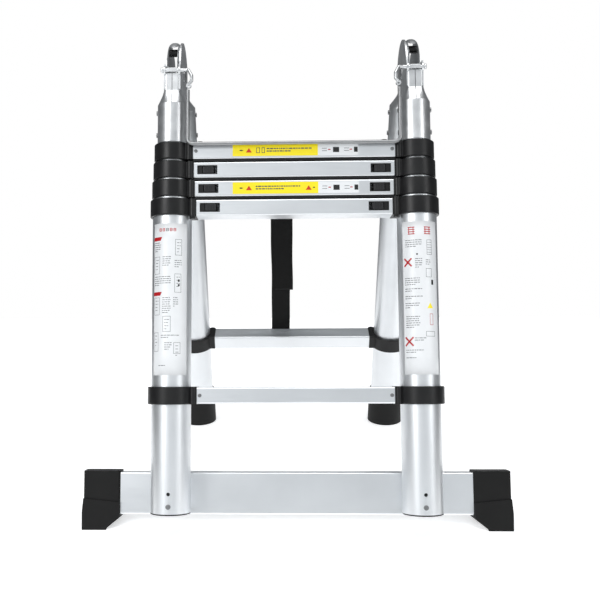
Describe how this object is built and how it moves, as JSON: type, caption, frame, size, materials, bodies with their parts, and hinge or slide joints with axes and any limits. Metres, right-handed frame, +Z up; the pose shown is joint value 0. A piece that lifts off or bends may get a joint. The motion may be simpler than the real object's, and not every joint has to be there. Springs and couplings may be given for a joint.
{
  "type": "telescoping ladder",
  "caption": "Telescoping aluminium step and extension ladder shown closed and opened as an A-frame, with latched nested rungs, locking hinges, a stabiliser bar and a tie strap.",
  "frame": {"origin": "on the floor, under the middle of the standing ladder", "axes": "+X along the rungs to the user's right as they face the front half, +Y from the front half to the rear half, +Z up"},
  "size_m": [0.698, 0.5686, 0.7725],
  "materials": {
    "aluminium": "satin anodised",
    "black_plastic": "fine moulded grain",
    "rubber": "matt",
    "zinc_steel": "bright zinc plated sheet",
    "screws": "bright",
    "webbing": "woven black webbing"
  },
  "bodies": {
    "front_base": {"front_4_tubes": "aluminium", "front_4_collars": "black_plastic", "front_5_collars": "black_plastic", "front_4_rung": "aluminium", "front_5_rung": "aluminium", "front_4_plugs": "black_plastic", "base_bar": "aluminium", "base_feet": "rubber", "front_4_fixings": "screws"},
    "rear_base": {"rear_4_tubes": "aluminium", "rear_4_collars": "black_plastic", "rear_5_collars": "black_plastic", "rear_4_rung": "aluminium", "rear_5_rung": "aluminium", "rear_feet": "rubber", "rear_4_fixings": "screws", "tie_strap": "webbing"},
    "front_1": {"front_1_tubes": "aluminium", "front_1_bushes": "black_plastic", "front_1_collars": "black_plastic", "front_1_rung": "aluminium", "front_hinge": "zinc_steel", "front_1_fixings": "screws"},
    "rear_1": {"rear_1_tubes": "aluminium", "rear_1_bushes": "black_plastic", "rear_1_collars": "black_plastic", "rear_1_rung": "aluminium", "rear_hinge": "zinc_steel", "rear_1_fixings": "screws"},
    "lock_lever_l": {"lock_lever_l": "zinc_steel"},
    "lock_lever_r": {"lock_lever_r": "zinc_steel"},
    "release_bail": {"release_bail": "zinc_steel"},
    "front_3": {"front_3_tubes": "aluminium", "front_3_bushes": "black_plastic", "front_3_collars": "black_plastic", "front_3_rung": "aluminium"},
    "front_2": {"front_2_tubes": "aluminium", "front_2_bushes": "black_plastic", "front_2_collars": "black_plastic", "front_2_rung": "aluminium"},
    "front_4_latch_l": {"front_4_latch_l": "black_plastic"},
    "front_4_latch_r": {"front_4_latch_r": "black_plastic"},
    "front_3_latch_l": {"front_3_latch_l": "black_plastic"},
    "front_3_latch_r": {"front_3_latch_r": "black_plastic"},
    "front_2_latch_l": {"front_2_latch_l": "black_plastic"},
    "front_2_latch_r": {"front_2_latch_r": "black_plastic"},
    "rear_3": {"rear_3_tubes": "aluminium", "rear_3_bushes": "black_plastic", "rear_3_collars": "black_plastic", "rear_3_rung": "aluminium"},
    "rear_2": {"rear_2_tubes": "aluminium", "rear_2_bushes": "black_plastic", "rear_2_collars": "black_plastic", "rear_2_rung": "aluminium"},
    "rear_4_latch_l": {"rear_4_latch_l": "black_plastic"},
    "rear_4_latch_r": {"rear_4_latch_r": "black_plastic"},
    "rear_3_latch_l": {"rear_3_latch_l": "black_plastic"},
    "rear_3_latch_r": {"rear_3_latch_r": "black_plastic"},
    "rear_2_latch_l": {"rear_2_latch_l": "black_plastic"},
    "rear_2_latch_r": {"rear_2_latch_r": "black_plastic"}
  },
  "joints": [
    {"name": "front_3_slide", "type": "slide", "parent": "front_base", "child": "front_3", "axis": [0, 0.3289, 0.9444], "range_m": [0, 0.2687]},
    {"name": "front_2_slide", "type": "slide", "parent": "front_3", "child": "front_2", "axis": [0, 0.3289, 0.9444], "range_m": [0, 0.2687]},
    {"name": "front_1_slide", "type": "slide", "parent": "front_2", "child": "front_1", "axis": [0, 0.3289, 0.9444], "range_m": [0, 0.2687]},
    {"name": "main_hinge", "type": "hinge", "parent": "front_1", "child": "rear_1", "pos_m": [0, 0.0265, 0.717], "axis": [1, 0, 0], "range_deg": [-32, 146.9]},
    {"name": "rear_2_slide", "type": "slide", "parent": "rear_1", "child": "rear_2", "axis": [0, 0.2402, -0.9707], "range_m": [0, 0.2687]},
    {"name": "rear_3_slide", "type": "slide", "parent": "rear_2", "child": "rear_3", "axis": [0, 0.2402, -0.9707], "range_m": [0, 0.2687]},
    {"name": "rear_base_slide", "type": "slide", "parent": "rear_3", "child": "rear_base", "axis": [0, 0.2402, -0.9707], "range_m": [0, 0.2687]},
    {"name": "front_4_latch_l_slide", "type": "slide", "parent": "front_base", "child": "front_4_latch_l", "axis": [1, 0, 0], "range_m": [0, 0.0056], "stiffness_N_per_m": 300, "springref_m": -0.004},
    {"name": "front_4_latch_r_slide", "type": "slide", "parent": "front_base", "child": "front_4_latch_r", "axis": [-1, 0, 0], "range_m": [0, 0.0056], "stiffness_N_per_m": 300, "springref_m": -0.004},
    {"name": "front_3_latch_l_slide", "type": "slide", "parent": "front_3", "child": "front_3_latch_l", "axis": [1, 0, 0], "range_m": [0, 0.0056], "stiffness_N_per_m": 300, "springref_m": -0.004},
    {"name": "front_3_latch_r_slide", "type": "slide", "parent": "front_3", "child": "front_3_latch_r", "axis": [-1, 0, 0], "range_m": [0, 0.0056], "stiffness_N_per_m": 300, "springref_m": -0.004},
    {"name": "front_2_latch_l_slide", "type": "slide", "parent": "front_2", "child": "front_2_latch_l", "axis": [1, 0, 0], "range_m": [0, 0.0056], "stiffness_N_per_m": 300, "springref_m": -0.004},
    {"name": "front_2_latch_r_slide", "type": "slide", "parent": "front_2", "child": "front_2_latch_r", "axis": [-1, 0, 0], "range_m": [0, 0.0056], "stiffness_N_per_m": 300, "springref_m": -0.004},
    {"name": "rear_4_latch_l_slide", "type": "slide", "parent": "rear_base", "child": "rear_4_latch_l", "axis": [1, 0, 0], "range_m": [0, 0.0056], "stiffness_N_per_m": 300, "springref_m": -0.004},
    {"name": "rear_4_latch_r_slide", "type": "slide", "parent": "rear_base", "child": "rear_4_latch_r", "axis": [-1, 0, 0], "range_m": [0, 0.0056], "stiffness_N_per_m": 300, "springref_m": -0.004},
    {"name": "rear_3_latch_l_slide", "type": "slide", "parent": "rear_3", "child": "rear_3_latch_l", "axis": [1, 0, 0], "range_m": [0, 0.0056], "stiffness_N_per_m": 300, "springref_m": -0.004},
    {"name": "rear_3_latch_r_slide", "type": "slide", "parent": "rear_3", "child": "rear_3_latch_r", "axis": [-1, 0, 0], "range_m": [0, 0.0056], "stiffness_N_per_m": 300, "springref_m": -0.004},
    {"name": "rear_2_latch_l_slide", "type": "slide", "parent": "rear_2", "child": "rear_2_latch_l", "axis": [1, 0, 0], "range_m": [0, 0.0056], "stiffness_N_per_m": 300, "springref_m": -0.004},
    {"name": "rear_2_latch_r_slide", "type": "slide", "parent": "rear_2", "child": "rear_2_latch_r", "axis": [-1, 0, 0], "range_m": [0, 0.0056], "stiffness_N_per_m": 300, "springref_m": -0.004},
    {"name": "release_bail_slide", "type": "slide", "parent": "front_1", "child": "release_bail", "axis": [0, 0.3289, 0.9444], "range_m": [0, 0.01]},
    {"name": "lock_lever_l_turn", "type": "hinge", "parent": "front_1", "child": "lock_lever_l", "pos_m": [-0.2, -0.03442, 0.72604], "axis": [1, 0, 0], "range_deg": [-25.5, 0]},
    {"name": "lock_lever_r_turn", "type": "hinge", "parent": "front_1", "child": "lock_lever_r", "pos_m": [0.2, -0.03442, 0.72604], "axis": [1, 0, 0], "range_deg": [-25.5, 0]}
  ],
  "couplings": [
    {"joint": "lock_lever_l_turn", "follows": "release_bail_slide", "rad_per_m": -43.633},
    {"joint": "lock_lever_r_turn", "follows": "release_bail_slide", "rad_per_m": -43.633}
  ]
}
